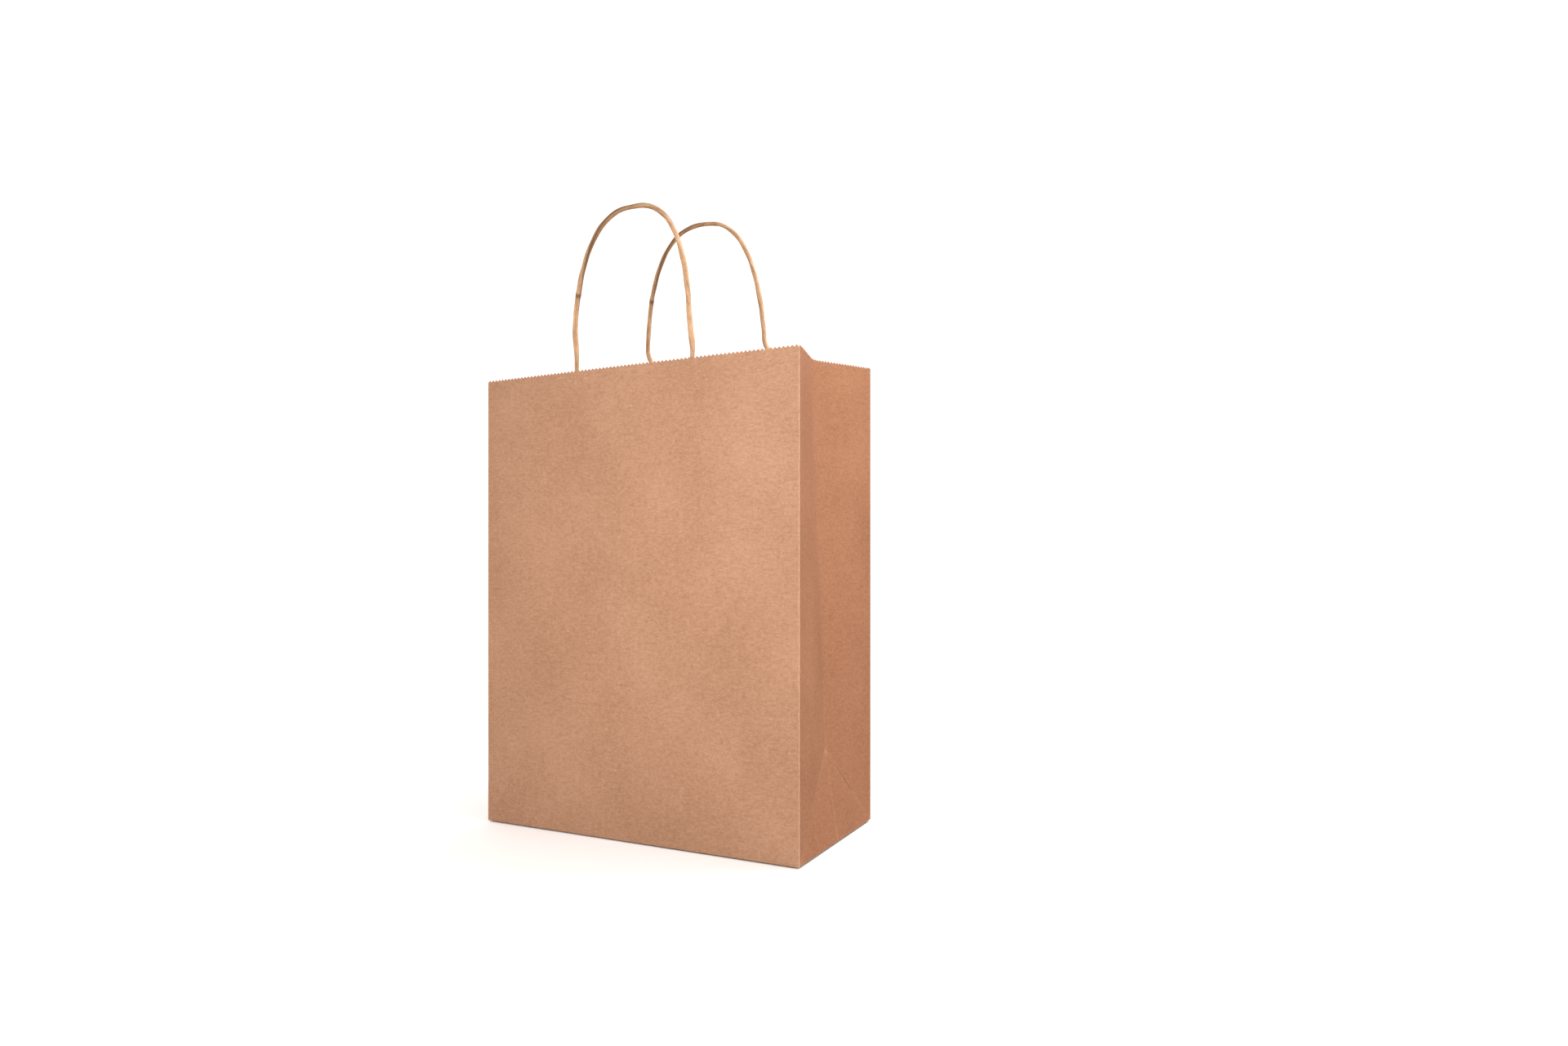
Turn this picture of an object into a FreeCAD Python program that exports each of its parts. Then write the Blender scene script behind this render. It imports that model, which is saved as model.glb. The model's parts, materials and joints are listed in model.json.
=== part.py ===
"""Brown kraft paper carrier gift bag with twisted-paper handles.

The bag is one sheet of paper, creased into flat facets and glued along one seam and
under its base.  Each facet between creases is a solid of its own, because the facets
turn against each other when the bag folds flat.

Frame, in millimetres: X runs along the wide panels, the front panel is on the -Y side,
+Z is up, and the origin is the middle of the base where it stands.
"""
import FreeCAD
import Part
import math
import os

Vector = FreeCAD.Vector

# ---- driving dimensions of the paper body
PANEL_WIDTH = 254.0
SIDE_DEPTH = 127.0
BAG_HEIGHT = 330.0
PAPER = 0.2
GUSSET_ANGLE = 12.0
CREASE_TRIM = 0.15
DIAGONAL_TRIM = 0.6
PANEL_TEETH = 84
TOOTH_DEPTH = 1.0
SEAM_WIDTH = 18.0
SEAM_SETBACK = 3.0
FLAP_OVERLAP = 24.0
BASE_CLEARANCE = 0.3

# ---- driving dimensions of the handles and their glued patches
CORD_RADIUS = 1.5
CORD_GLUED_LENGTH = 42.0
PIVOT_LIFT = 0.5
STUB_CLEARANCE = 0.3
PATCH_WIDTH = 120.0
PATCH_HEIGHT = 46.0
PATCH_TOP_INSET = 2.5
TUNNEL_CLEARANCE = 0.1
LEG_SPLAY = 3.5
FRONT_ARCH = {"half_span": 44.5, "spring_z": 48.0, "rise": 59.0, "top_radius": 36.0}
FRONT_LEAN = 8.0
BACK_ARCH = {"half_span": 50.5, "spring_z": 59.0, "rise": 68.0, "top_radius": 41.0}
BACK_LEAN = 1.5

# ---- derived places
HALF_WIDTH = PANEL_WIDTH / 2
HALF_GUSSET = SIDE_DEPTH / 2
GUSSET_TEETH = PANEL_TEETH // 4
SIN_GUSSET = math.sin(math.radians(GUSSET_ANGLE))
COS_GUSSET = math.cos(math.radians(GUSSET_ANGLE))
INNER_Y = HALF_GUSSET * COS_GUSSET
CREASE_INSET = HALF_GUSSET * SIN_GUSSET
CREASE_HEIGHT = HALF_GUSSET
BASE_TOP = 3 * PAPER
PIVOT_Z = BAG_HEIGHT + CORD_RADIUS + PIVOT_LIFT
CORD_Y = INNER_Y - PAPER - CORD_RADIUS


def plate(outline, origin, along, up, normal, thickness=PAPER):
    """A flat sheet: the outline's (along, up) points, thickened along the normal."""
    corners = [origin + along * a + up * b for a, b in outline]
    face = Part.Face(Part.makePolygon(corners + corners[:1]))
    return face.extrude(normal * thickness)


def pinked_top(left, right, top, teeth):
    """Points of a zig-zag cut edge from left to right, with its tips at height top."""
    pitch = (right - left) / teeth
    points = [(left, top - TOOTH_DEPTH)]
    for tooth in range(teeth):
        points.append((left + (tooth + 0.5) * pitch, top))
        points.append((left + (tooth + 1) * pitch, top - TOOTH_DEPTH))
    return points


def mirrored_x(shape):
    """The same piece on the other side of the bag."""
    return shape.mirror(Vector(0, 0, 0), Vector(1, 0, 0))


def wide_panel(bottom, side):
    """Front (side -1) or back (side +1) panel, from the given height to the pinked edge."""
    reach = HALF_WIDTH - CREASE_TRIM
    outline = [(reach, bottom), (-reach, bottom)]
    outline += pinked_top(-reach, reach, BAG_HEIGHT, PANEL_TEETH)
    origin = Vector(0, side * INNER_Y, 0)
    return plate(outline, origin, Vector(1, 0, 0), Vector(0, 0, 1), Vector(0, side, 0))


def back_fold_strip():
    """Lower part of the back panel, which the base folds up against."""
    reach = HALF_WIDTH - CREASE_TRIM
    top = CREASE_HEIGHT - CREASE_TRIM
    outline = [(-reach, 0), (reach, 0), (reach, top), (-reach, top)]
    origin = Vector(0, INNER_Y, 0)
    return plate(outline, origin, Vector(1, 0, 0), Vector(0, 0, 1), Vector(0, 1, 0))


def gusset_frame(side):
    """Origin, inward and outward directions of a right gusset half: side -1 front, +1 back."""
    origin = Vector(HALF_WIDTH, side * INNER_Y, 0)
    inward = Vector(-SIN_GUSSET, -side * COS_GUSSET, 0)
    outward = Vector(COS_GUSSET, -side * SIN_GUSSET, 0)
    return origin, inward, outward


def crease_reach():
    """Width of a gusset half up to where the outer faces meet at the centre crease."""
    return HALF_GUSSET - PAPER * SIN_GUSSET / COS_GUSSET - CREASE_TRIM


def gusset_front_half():
    """Front half of the right gusset, down to the diagonal crease of the foot."""
    origin, inward, outward = gusset_frame(-1)
    reach = crease_reach()
    slope_trim = DIAGONAL_TRIM * math.sqrt(2)
    outline = [(reach, reach + slope_trim), (CREASE_TRIM, CREASE_TRIM + slope_trim)]
    outline += pinked_top(CREASE_TRIM, reach, BAG_HEIGHT, GUSSET_TEETH)
    return plate(outline, origin, inward, Vector(0, 0, 1), outward)


def gusset_back_half():
    """Back half of the right gusset, down to the level crease where the back folds."""
    origin, inward, outward = gusset_frame(1)
    reach = crease_reach()
    bottom = CREASE_HEIGHT + CREASE_TRIM
    outline = [(reach, bottom), (CREASE_TRIM, bottom)]
    outline += pinked_top(CREASE_TRIM, reach, BAG_HEIGHT, GUSSET_TEETH)
    return plate(outline, origin, inward, Vector(0, 0, 1), outward)


def foot_corner():
    """Small right triangle between the back corner, the level crease and the diagonal."""
    origin, inward, outward = gusset_frame(1)
    reach = crease_reach()
    top = CREASE_HEIGHT - CREASE_TRIM
    slope_trim = DIAGONAL_TRIM * math.sqrt(2)
    outline = [(CREASE_TRIM, CREASE_TRIM + slope_trim), (CREASE_TRIM, top)]
    outline += [(top - slope_trim, top)]
    outline = [(min(a, reach), b) for a, b in outline]
    return plate(outline, origin, inward, Vector(0, 0, 1), outward)


def foot_triangle():
    """Triangle of the right side that stands on the base fold and tilts in to the crease."""
    rise = CREASE_HEIGHT - BASE_TOP
    slant = math.hypot(CREASE_INSET, rise)
    up = Vector(-CREASE_INSET / slant, 0, rise / slant)
    outward = Vector(rise / slant, 0, CREASE_INSET / slant)
    trim = DIAGONAL_TRIM * math.sqrt(2)
    half = INNER_Y - trim
    outline = [(-half, CREASE_TRIM), (half, CREASE_TRIM), (0, slant - trim)]
    return plate(outline, Vector(HALF_WIDTH, 0, BASE_TOP), Vector(0, 1, 0), up, outward)


def long_flap(side, layer):
    """Base flap of a wide panel, with 45 degree ends; layer 0 is the outermost sheet."""
    edge = INNER_Y - (BASE_CLEARANCE if side < 0 else CREASE_TRIM)
    depth = INNER_Y + FLAP_OVERLAP / 2
    reach = HALF_WIDTH - CREASE_TRIM
    outline = [(-reach, 0), (reach, 0), (reach - depth, depth), (depth - reach, depth)]
    origin = Vector(0, side * edge, layer * PAPER)
    return plate(outline, origin, Vector(1, 0, 0), Vector(0, -side, 0), Vector(0, 0, 1))


def side_flap():
    """Base flap of the right gusset, folded square under the long flaps."""
    reach = HALF_WIDTH - CREASE_TRIM
    inner = HALF_WIDTH - INNER_Y
    front = -INNER_Y + BASE_CLEARANCE
    back = INNER_Y - CREASE_TRIM
    outline = [(inner, front), (reach, front), (reach, back), (inner, back)]
    origin = Vector(0, 0, BASE_TOP - PAPER)
    return plate(outline, origin, Vector(1, 0, 0), Vector(0, 1, 0), Vector(0, 0, 1))


def seam_tab(bottom, top):
    """Overlap of the one long glued seam, inside the back panel by the left corner."""
    start = -HALF_WIDTH + SEAM_SETBACK
    size = (SEAM_WIDTH, PAPER, top - bottom)
    return Part.makeBox(*size, Vector(start, INNER_Y - PAPER, bottom))


def patch_outer(side):
    """Paper patch between a wide panel and its handle's cord ends."""
    top = BAG_HEIGHT - PATCH_TOP_INSET
    outline = [(-PATCH_WIDTH / 2, top - PATCH_HEIGHT), (PATCH_WIDTH / 2, top - PATCH_HEIGHT)]
    outline += [(PATCH_WIDTH / 2, top), (-PATCH_WIDTH / 2, top)]
    origin = Vector(0, side * INNER_Y, 0)
    return plate(outline, origin, Vector(1, 0, 0), Vector(0, 0, 1), Vector(0, -side, 0))


def patch_inner(side, leg_x):
    """Paper patch glued over the cord ends, with a half-round ridge along each end."""
    bottom = BAG_HEIGHT - PATCH_TOP_INSET - PATCH_HEIGHT
    face_y = INNER_Y - PAPER
    sheet = Part.makeBox(
        PATCH_WIDTH, PAPER, PATCH_HEIGHT, Vector(-PATCH_WIDTH / 2, face_y - PAPER, bottom))
    tunnel_radius = CORD_RADIUS + TUNNEL_CLEARANCE
    for leg in (-leg_x, leg_x):
        foot = Vector(leg, CORD_Y, bottom)
        sheet = sheet.fuse(ridge_block(foot, tunnel_radius + PAPER, face_y))
        sheet = sheet.cut(ridge_block(foot, tunnel_radius, face_y + PAPER))
    sheet = sheet.removeSplitter()
    return sheet if side > 0 else sheet.mirror(Vector(0, 0, 0), Vector(0, 1, 0))


def ridge_block(foot, radius, back_y):
    """Upright rod of the given radius, with straight walls from its axis to back_y."""
    rod = Part.makeCylinder(radius, PATCH_HEIGHT, foot)
    corner = Vector(foot.x - radius, foot.y, foot.z)
    walls = Part.makeBox(2 * radius, back_y - foot.y, PATCH_HEIGHT, corner)
    whole = rod.fuse(walls)
    keep = Part.makeBox(
        4 * radius, back_y - foot.y + 2 * radius, PATCH_HEIGHT,
        Vector(foot.x - 2 * radius, foot.y - 2 * radius, foot.z))
    return whole.common(keep)


def handle_ends(side, leg_x):
    """The two glued lengths of cord, which stop just short of the handle's pivot."""
    top = PIVOT_Z - CORD_RADIUS - STUB_CLEARANCE
    ends = []
    for leg in (-leg_x, leg_x):
        foot = Vector(leg, side * CORD_Y, top - CORD_GLUED_LENGTH)
        ends.append(Part.makeCylinder(CORD_RADIUS, CORD_GLUED_LENGTH, foot))
    return Part.makeCompound(ends)


def side_radius(arch):
    """Radius of the arch's side arcs, which meet the top arc without a kink."""
    depth = arch["rise"] - arch["top_radius"]
    span, top = arch["half_span"], arch["top_radius"]
    return (span * span + depth * depth - top * top) / (2 * (span - top))


def arch_points(arch):
    """Right half of the cord's centreline: leg foot, leg top, side arc middle and end, apex."""
    splay = math.radians(LEG_SPLAY)
    radius = side_radius(arch)
    centre = Vector(arch["half_span"] - radius, 0, arch["spring_z"])
    top_centre = Vector(0, 0, arch["spring_z"] + arch["rise"] - arch["top_radius"])
    toward_top = top_centre - centre
    join_angle = math.atan2(toward_top.z, toward_top.x)

    def on_side(angle):
        return centre + Vector(math.cos(angle), 0, math.sin(angle)) * radius

    leg_top = on_side(splay)
    foot = leg_top + Vector(math.tan(splay), 0, -1) * leg_top.z
    middle = on_side((splay + join_angle) / 2)
    apex = top_centre + Vector(0, 0, arch["top_radius"])
    return foot, leg_top, middle, on_side(join_angle), apex


def flipped(point):
    return Vector(-point.x, point.y, point.z)


def leg_spread(arch):
    """Distance from the middle of the bag to each cord end."""
    return arch_points(arch)[0].x


def handle_loop(side, arch, lean):
    """Free loop of cord: two legs and an arch of three tangent arcs, leaning into the bag."""
    foot, leg_top, middle, join, apex = arch_points(arch)
    edges = [
        Part.LineSegment(foot, leg_top),
        Part.Arc(leg_top, middle, join),
        Part.Arc(join, apex, flipped(join)),
        Part.Arc(flipped(join), flipped(middle), flipped(leg_top)),
        Part.LineSegment(flipped(leg_top), flipped(foot)),
    ]
    path = Part.Wire([edge.toShape() for edge in edges])
    section = Part.Wire(Part.makeCircle(CORD_RADIUS, foot, leg_top - foot))
    loop = path.makePipeShell([section], True, False)
    loop.rotate(Vector(0, 0, 0), Vector(1, 0, 0), side * lean)
    loop.translate(Vector(0, side * CORD_Y, PIVOT_Z))
    return loop


def build_nodes():
    """Every sub-part of the bag, by name."""
    nodes = {
        "front_panel": wide_panel(0, -1),
        "back_panel": wide_panel(CREASE_HEIGHT + CREASE_TRIM, 1),
        "back_fold_strip": back_fold_strip(),
        "right_gusset_front": gusset_front_half(),
        "right_gusset_back": gusset_back_half(),
        "right_foot_triangle": foot_triangle(),
        "right_foot_corner": foot_corner(),
        "base_front_flap": long_flap(-1, 0),
        "base_back_flap": long_flap(1, 1),
        "base_right_flap": side_flap(),
        "seam_tab_upper": seam_tab(CREASE_HEIGHT + 1, BAG_HEIGHT - 2 * TOOTH_DEPTH),
        "seam_tab_lower": seam_tab(BASE_TOP + 1, CREASE_HEIGHT - 1),
    }
    for name in [key for key in nodes if "right" in key]:
        nodes[name.replace("right", "left")] = mirrored_x(nodes[name])
    handles = (
        ("front", -1, FRONT_ARCH, FRONT_LEAN),
        ("back", 1, BACK_ARCH, BACK_LEAN),
    )
    for place, side, arch, lean in handles:
        leg_x = leg_spread(arch)
        nodes[place + "_handle_loop"] = handle_loop(side, arch, lean)
        nodes[place + "_handle_ends"] = handle_ends(side, leg_x)
        nodes[place + "_patch_outer"] = patch_outer(side)
        nodes[place + "_patch_inner"] = patch_inner(side, leg_x)
    return nodes


def export_nodes():
    os.makedirs("parts", exist_ok=True)
    for name, shape in build_nodes().items():
        shape.exportStep("parts/" + name + ".step")


export_nodes()
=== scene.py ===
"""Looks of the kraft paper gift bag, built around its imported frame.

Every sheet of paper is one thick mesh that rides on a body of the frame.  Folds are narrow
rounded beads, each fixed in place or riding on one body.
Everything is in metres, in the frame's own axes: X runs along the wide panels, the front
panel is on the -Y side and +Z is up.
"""

import json
import math

import bmesh
import bpy
import numpy as np
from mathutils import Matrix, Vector


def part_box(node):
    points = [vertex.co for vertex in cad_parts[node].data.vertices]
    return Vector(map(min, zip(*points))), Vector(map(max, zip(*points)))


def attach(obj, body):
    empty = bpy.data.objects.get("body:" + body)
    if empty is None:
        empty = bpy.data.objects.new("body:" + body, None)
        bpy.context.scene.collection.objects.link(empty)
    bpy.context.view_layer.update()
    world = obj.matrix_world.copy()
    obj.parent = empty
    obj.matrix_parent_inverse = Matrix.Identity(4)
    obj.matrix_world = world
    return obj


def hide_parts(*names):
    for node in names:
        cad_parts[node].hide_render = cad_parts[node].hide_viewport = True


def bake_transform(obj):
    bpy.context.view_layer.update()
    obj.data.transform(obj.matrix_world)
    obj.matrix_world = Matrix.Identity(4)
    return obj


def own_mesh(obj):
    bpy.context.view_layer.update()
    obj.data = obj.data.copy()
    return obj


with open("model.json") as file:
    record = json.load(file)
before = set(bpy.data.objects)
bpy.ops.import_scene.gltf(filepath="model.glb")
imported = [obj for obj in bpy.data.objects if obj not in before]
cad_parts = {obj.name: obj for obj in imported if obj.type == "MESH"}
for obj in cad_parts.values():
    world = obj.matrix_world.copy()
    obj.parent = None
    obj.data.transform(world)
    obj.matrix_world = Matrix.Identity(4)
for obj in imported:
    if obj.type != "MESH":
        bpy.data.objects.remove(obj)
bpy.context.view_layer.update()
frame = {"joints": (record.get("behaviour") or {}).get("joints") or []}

MM = 0.001
PIVOT = {joint["name"]: np.array(joint["pos_m"]) for joint in frame["joints"]}

# ---- places that the frame gives
CORNER_X, INNER_Y = (float(value) for value in PIVOT["right_back_corner"][:2])
LEVEL_Z = float(PIVOT["back_level_crease"][2])
BASE_TOP = float(PIVOT["right_foot_fold"][2])
TOP_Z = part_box("front_panel")[1].z
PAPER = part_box("front_panel")[1].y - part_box("front_panel")[0].y
HALF_GUSSET = LEVEL_Z
CREASE_INSET = math.sqrt(HALF_GUSSET ** 2 - INNER_Y ** 2)
SIN_GUSSET = CREASE_INSET / HALF_GUSSET
COS_GUSSET = INNER_Y / HALF_GUSSET
FLAP_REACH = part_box("base_front_flap")[1].y
SIDE_FLAP_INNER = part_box("base_right_flap")[0].x

# ---- how the paper is cut, folded and bowed
PANEL_TEETH = 84
GUSSET_TEETH = PANEL_TEETH // 4
TOOTH_DEPTH = 1.35 * MM
FOLD_REACH = 0.4 * MM
BASE_FOLD_REACH = 0.5 * MM
FOLD_STEPS = 6
SEAM_GAP = 0.03 * MM
CREASE_OUT_AT_FOOT = 3.5 * MM
CREASE_IN_AT_TOP = 6.0 * MM
CREASE_ROUNDING_AT_TOP = 9.0 * MM
CREASE_ROUNDING_AT_FOOT = 0.8 * MM
CUT_LOW_AT_LEFT = 5.8 * MM
CUT_HIGH_AT_RIGHT = 0.7 * MM
CUT_HIGH_AT_BACK = 4.2 * MM
PANEL_BOW = 1.1 * MM
PANEL_RIPPLE = 0.22 * MM
GUSSET_BOW = 0.5 * MM
# Width of the pale line along creases and edges: worn fibres plus a painted highlight.
LINE_FALLOFF_WIDTH = 0.42 * MM
EDGE_STEPS = (0.25 * MM, 0.6 * MM, 1.2 * MM, 2.4 * MM, 4.5 * MM)

# ---- handles: the shares are of the loop's height, its foot's place or the cord's radius
CORD_RADIUS = 1.5 * MM
CORD_SIDES = 20
CORD_STEP = 0.8 * MM
TWIST_PITCH = 55.0 * MM
WRAP_PITCH = 190.0 * MM
TENT_WIDTH = 4.2 * MM
ROUTE_POINTS = 600
ARCH_SQUARENESS = 2.5
RACK_REACH = 0.25
ARCH_THINNING = 0.1
LEG_SWELL = 0.2
SWELL_REACH = 8.0 * MM
KNOB_SWELL = 0.15
KNOB_LIFT = 1.6 * MM
KNOB_LENGTH = 2.0 * MM
# Painted shade in a band just under the knob's swelling, and its length.
KNOB_PAINTED_SHADE = 0.95
KNOB_SHADE_LENGTH = 1.5 * MM
TWIST_BELOW_KNOB = 0.35
WRAP_START = 0.36
WRAP_START_ANGLE = -0.78 * math.pi
SWAY = 0.5 * MM
SWAY_LENGTH = 23 * MM
SWAY_REACH = 30 * MM

# ---- paint and light
# Painted shade: this multiplier darkens and warms the gussets and foot sheets, as if they stood
# in shade.
SIDE_PAINTED_SHADE = (0.82, 0.685, 0.60)
PATCH_TINT = (1.04, 1.02, 1.0)
# How much of the pale crease colour is mixed in: worn fibres plus a painted highlight.
WEAR_AND_HIGHLIGHT_SHARE = 0.5
FLOOR_REACH = 14.0
FLOOR_DROP = 1.0 * MM
WORLD_COLOUR = (1.0, 0.95, 0.915, 1)
WORLD_STRENGTH = 1.25
CAMERA_PLACE = (0.39797, -0.64259, 0.20562)
CAMERA_TURN = 0.4519
CAMERA_LENS = 23.32
CAMERA_SHIFT = 0.0123


# ------------------------------------------------------------------ mesh helpers
def grid_faces(rows, columns, start):
    """Quads of a grid of vertices that are numbered row by row from start."""
    corner = start + np.arange((rows - 1) * columns).reshape(rows - 1, columns)[:, :-1].ravel()
    return np.stack([corner, corner + 1, corner + columns + 1, corner + columns], 1).tolist()


def rim_faces(rows, columns, offset):
    """Quads that join the borders of two equal grids, offset vertices apart."""
    index = np.arange(rows * columns).reshape(rows, columns)
    around = [*index[0, :-1], *index[:-1, -1], *index[-1, :0:-1], *index[:0:-1, 0]]
    following = around[1:] + around[:1]
    return [(int(a), int(a + offset), int(b + offset), int(b)) for a, b in zip(around, following)]


def mesh_object(name, points, faces, attributes):
    """A closed mesh with outward faces, smooth between its sharp rims, and its attributes."""
    mesh = bpy.data.meshes.new(name)
    mesh.from_pydata(np.asarray(points, float).reshape(-1, 3).tolist(), [], faces)
    shell = bmesh.new()
    shell.from_mesh(mesh)
    bmesh.ops.recalc_face_normals(shell, faces=shell.faces)
    shell.to_mesh(mesh)
    shell.free()
    for key, (kind, values) in attributes.items():
        layer = mesh.attributes.new(key, kind, "POINT")
        field = "value" if kind == "FLOAT" else "vector"
        layer.data.foreach_set(field, np.asarray(values, np.float32).ravel())
    mesh.shade_smooth()
    mesh.set_sharp_from_angle(angle=math.radians(38))
    piece = bpy.data.objects.new(name, mesh)
    bpy.context.scene.collection.objects.link(piece)
    return piece


def paper_sheet(name, inner, outward, flat, wear, node):
    """Thick paper from a grid of inner points, with its outward directions, its unfolded
    coordinates (around, up, layer) and its pale mark from 0 to 1: worn fibres plus a painted
    highlight.  It replaces the node."""
    rows, columns = inner.shape[:2]
    outer = inner + outward * PAPER
    points = np.concatenate([outer.reshape(-1, 3), inner.reshape(-1, 3)])
    count = rows * columns
    faces = grid_faces(rows, columns, 0) + grid_faces(rows, columns, count)
    faces += rim_faces(rows, columns, count)
    attributes = {
        "paper": ("FLOAT_VECTOR", np.concatenate([flat.reshape(-1, 3)] * 2)),
        "wear": ("FLOAT", np.concatenate([wear.ravel()] * 2)),
    }
    piece = mesh_object(name, points, faces, attributes)
    if node:
        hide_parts(node)
    return piece


def unit(vector):
    """The vector at length 1."""
    return np.asarray(vector, float) / np.linalg.norm(vector)


def line_falloff(distance, width=LINE_FALLOFF_WIDTH):
    """Falloff beside a line, from 1 on it to 0 away from it: the mask for pale worn fibres and
    painted highlight along creases and edges.
    """
    return np.exp(-(np.abs(distance) / width) ** 2)


def spaced(low, high, step, fine=EDGE_STEPS):
    """Even positions from low to high, with extra ones just inside both ends."""
    even = np.linspace(low, high, max(2, int(round((high - low) / step)) + 1))
    extra = [low + gap for gap in fine] + [high - gap for gap in fine]
    places = np.unique(np.round(np.concatenate([even, extra]), 7))
    return places[(places >= low) & (places <= high)]


def cut_offset(x, y):
    """The mouth is cut a little out of square: low at the left, high at the back."""
    from_right = (CORNER_X - x) / (2 * CORNER_X)
    from_front = (INNER_Y + y) / (2 * INNER_Y)
    return CUT_HIGH_AT_RIGHT + CUT_HIGH_AT_BACK * from_front - CUT_LOW_AT_LEFT * from_right


def pinked_height(along, pitch, x, y):
    """Height of the zig-zag cut edge at (x, y): a tip in the middle of each pitch."""
    phase = np.mod(along / pitch, 1.0)
    return TOP_Z + cut_offset(x, y) - TOOTH_DEPTH * np.abs(2 * phase - 1)


def tooth_columns(width, teeth, fine=EDGE_STEPS):
    """Column positions at every tip and valley of the cut edge, and just inside both ends."""
    even = np.linspace(0, width, 2 * teeth + 1)
    extra = [gap for gap in fine] + [width - gap for gap in fine]
    return np.unique(np.round(np.concatenate([even, extra]), 7))


# ------------------------------------------------------------------ paper body
def ripple(across, up, seed):
    """Gentle unevenness of a sheet, from -1 to 1, the same at every run."""
    phase = seed * 2.1
    slow = np.sin(across * 41 + up * 17 + phase) * np.sin(up * 29 - across * 13 + 2 * phase)
    quick = np.sin(across * 88 - up * 46 + 3 * phase) * np.sin(up * 71 + across * 31 + phase)
    return 0.65 * slow + 0.35 * quick


def panel_bow(x, z, side):
    """How far a wide panel stands proud of its flat place, zero at its corners and foot."""
    across = np.clip(1 - (x / CORNER_X) ** 2, 0, 1)
    up = np.clip(z / TOP_Z, 0, 1)
    rise = np.sin(up * math.pi * 0.62) ** 1.5
    return across ** 0.8 * rise * (PANEL_BOW + PANEL_RIPPLE * 2.2 * ripple(x, z, side + 4))


def panel_sheet(name, side, bottom, body, node):
    """A wide panel with a pinked top edge: side -1 is the front and +1 the back."""
    low_x = -CORNER_X + FOLD_REACH
    width = 2 * (CORNER_X - FOLD_REACH)
    pitch = width / PANEL_TEETH
    x = low_x + tooth_columns(width, PANEL_TEETH)
    low_z = bottom + (FOLD_REACH if bottom else PAPER + BASE_FOLD_REACH)
    share = (spaced(low_z, TOP_Z - 2 * TOOTH_DEPTH, 8 * MM) - low_z) / (TOP_Z - low_z)
    share = np.append(share, 1.0)[:, None]
    z = low_z + (pinked_height(x - low_x, pitch, x, side * INNER_Y)[None, :] - low_z) * share
    x = np.broadcast_to(x, z.shape)
    inner = np.stack([x, side * (INNER_Y + panel_bow(x, z, side)), z], -1)
    outward = np.broadcast_to(np.array([0.0, side, 0.0]), inner.shape)
    around = x if side < 0 else 2 * (CORNER_X + HALF_GUSSET) - x
    flat = np.stack([around, z, np.zeros_like(z)], -1)
    wear = line_falloff(CORNER_X - np.abs(x)) + line_falloff(z - bottom)
    piece = paper_sheet(name, inner, outward, flat, np.clip(wear, 0, 1), node)
    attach(piece, body)
    return piece


def fold_strip():
    """Lower part of the back panel, which swings in as the bag folds flat."""
    x = spaced(-CORNER_X + FOLD_REACH, CORNER_X - FOLD_REACH, 8 * MM)
    z = spaced(2 * PAPER + BASE_FOLD_REACH, LEVEL_Z - FOLD_REACH, 6 * MM)
    x, z = np.meshgrid(x, z)
    inner = np.stack([x, INNER_Y + panel_bow(x, z, 1), z], -1)
    outward = np.broadcast_to(np.array([0.0, 1.0, 0.0]), inner.shape)
    flat = np.stack([2 * (CORNER_X + HALF_GUSSET) - x, z, np.zeros_like(z)], -1)
    wear = line_falloff(CORNER_X - np.abs(x)) + line_falloff(z) + line_falloff(z - LEVEL_Z)
    piece = paper_sheet(
        "back_fold_strip_sheet", inner, outward, flat, np.clip(wear, 0, 1), "back_fold_strip")
    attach(piece, "back_fold_strip")
    return piece


def crease_x(z):
    """Where a gusset's centre crease stands: pressed in at the mouth, out at the foot."""
    rise = np.clip((z - LEVEL_Z) / (TOP_Z - LEVEL_Z), 0, 1)
    pushed_in = rise * CREASE_IN_AT_TOP - (1 - rise) * CREASE_OUT_AT_FOOT
    return CORNER_X - CREASE_INSET - pushed_in


def gusset_point(share, z, hand, side):
    """Inner point and outward direction of a gusset half, share of the way to its crease."""
    inset = CORNER_X - crease_x(z)
    slope = inset / INNER_Y
    rise = np.clip((z - LEVEL_Z) / (TOP_Z - LEVEL_Z), 0, 1)
    rounding = CREASE_ROUNDING_AT_FOOT + (
        CREASE_ROUNDING_AT_TOP - CREASE_ROUNDING_AT_FOOT) * rise ** 1.5
    y = INNER_Y * (1 - share)
    softened = slope * np.where(y < rounding, rounding / 2 + y ** 2 / (2 * rounding), y)
    bow = GUSSET_BOW * np.sin(share * math.pi) * (0.4 + ripple(share * 0.06, z, side + 7))
    inner = np.stack([hand * (CORNER_X - inset + softened), side * y, z], -1)
    lean = np.arctan(np.where(y < rounding, slope * y / rounding, slope))
    outward = np.stack([hand * np.cos(lean), -side * np.sin(lean), np.zeros_like(z)], -1)
    return inner + outward * bow[..., None], outward


def gusset_normal(hand, side):
    """Outward direction of a flat gusset half."""
    return hand * COS_GUSSET, -side * SIN_GUSSET, 0.0


def flatten(piece):
    """Gives the piece its own copy of its mesh."""
    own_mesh(piece)


def gusset_flat(share, z, hand, side):
    """Unfolded coordinates of a gusset half."""
    from_front = share * HALF_GUSSET if side < 0 else HALF_GUSSET * (2 - share)
    return np.stack([hand * (CORNER_X + from_front), z, np.zeros_like(z)], -1)


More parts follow.
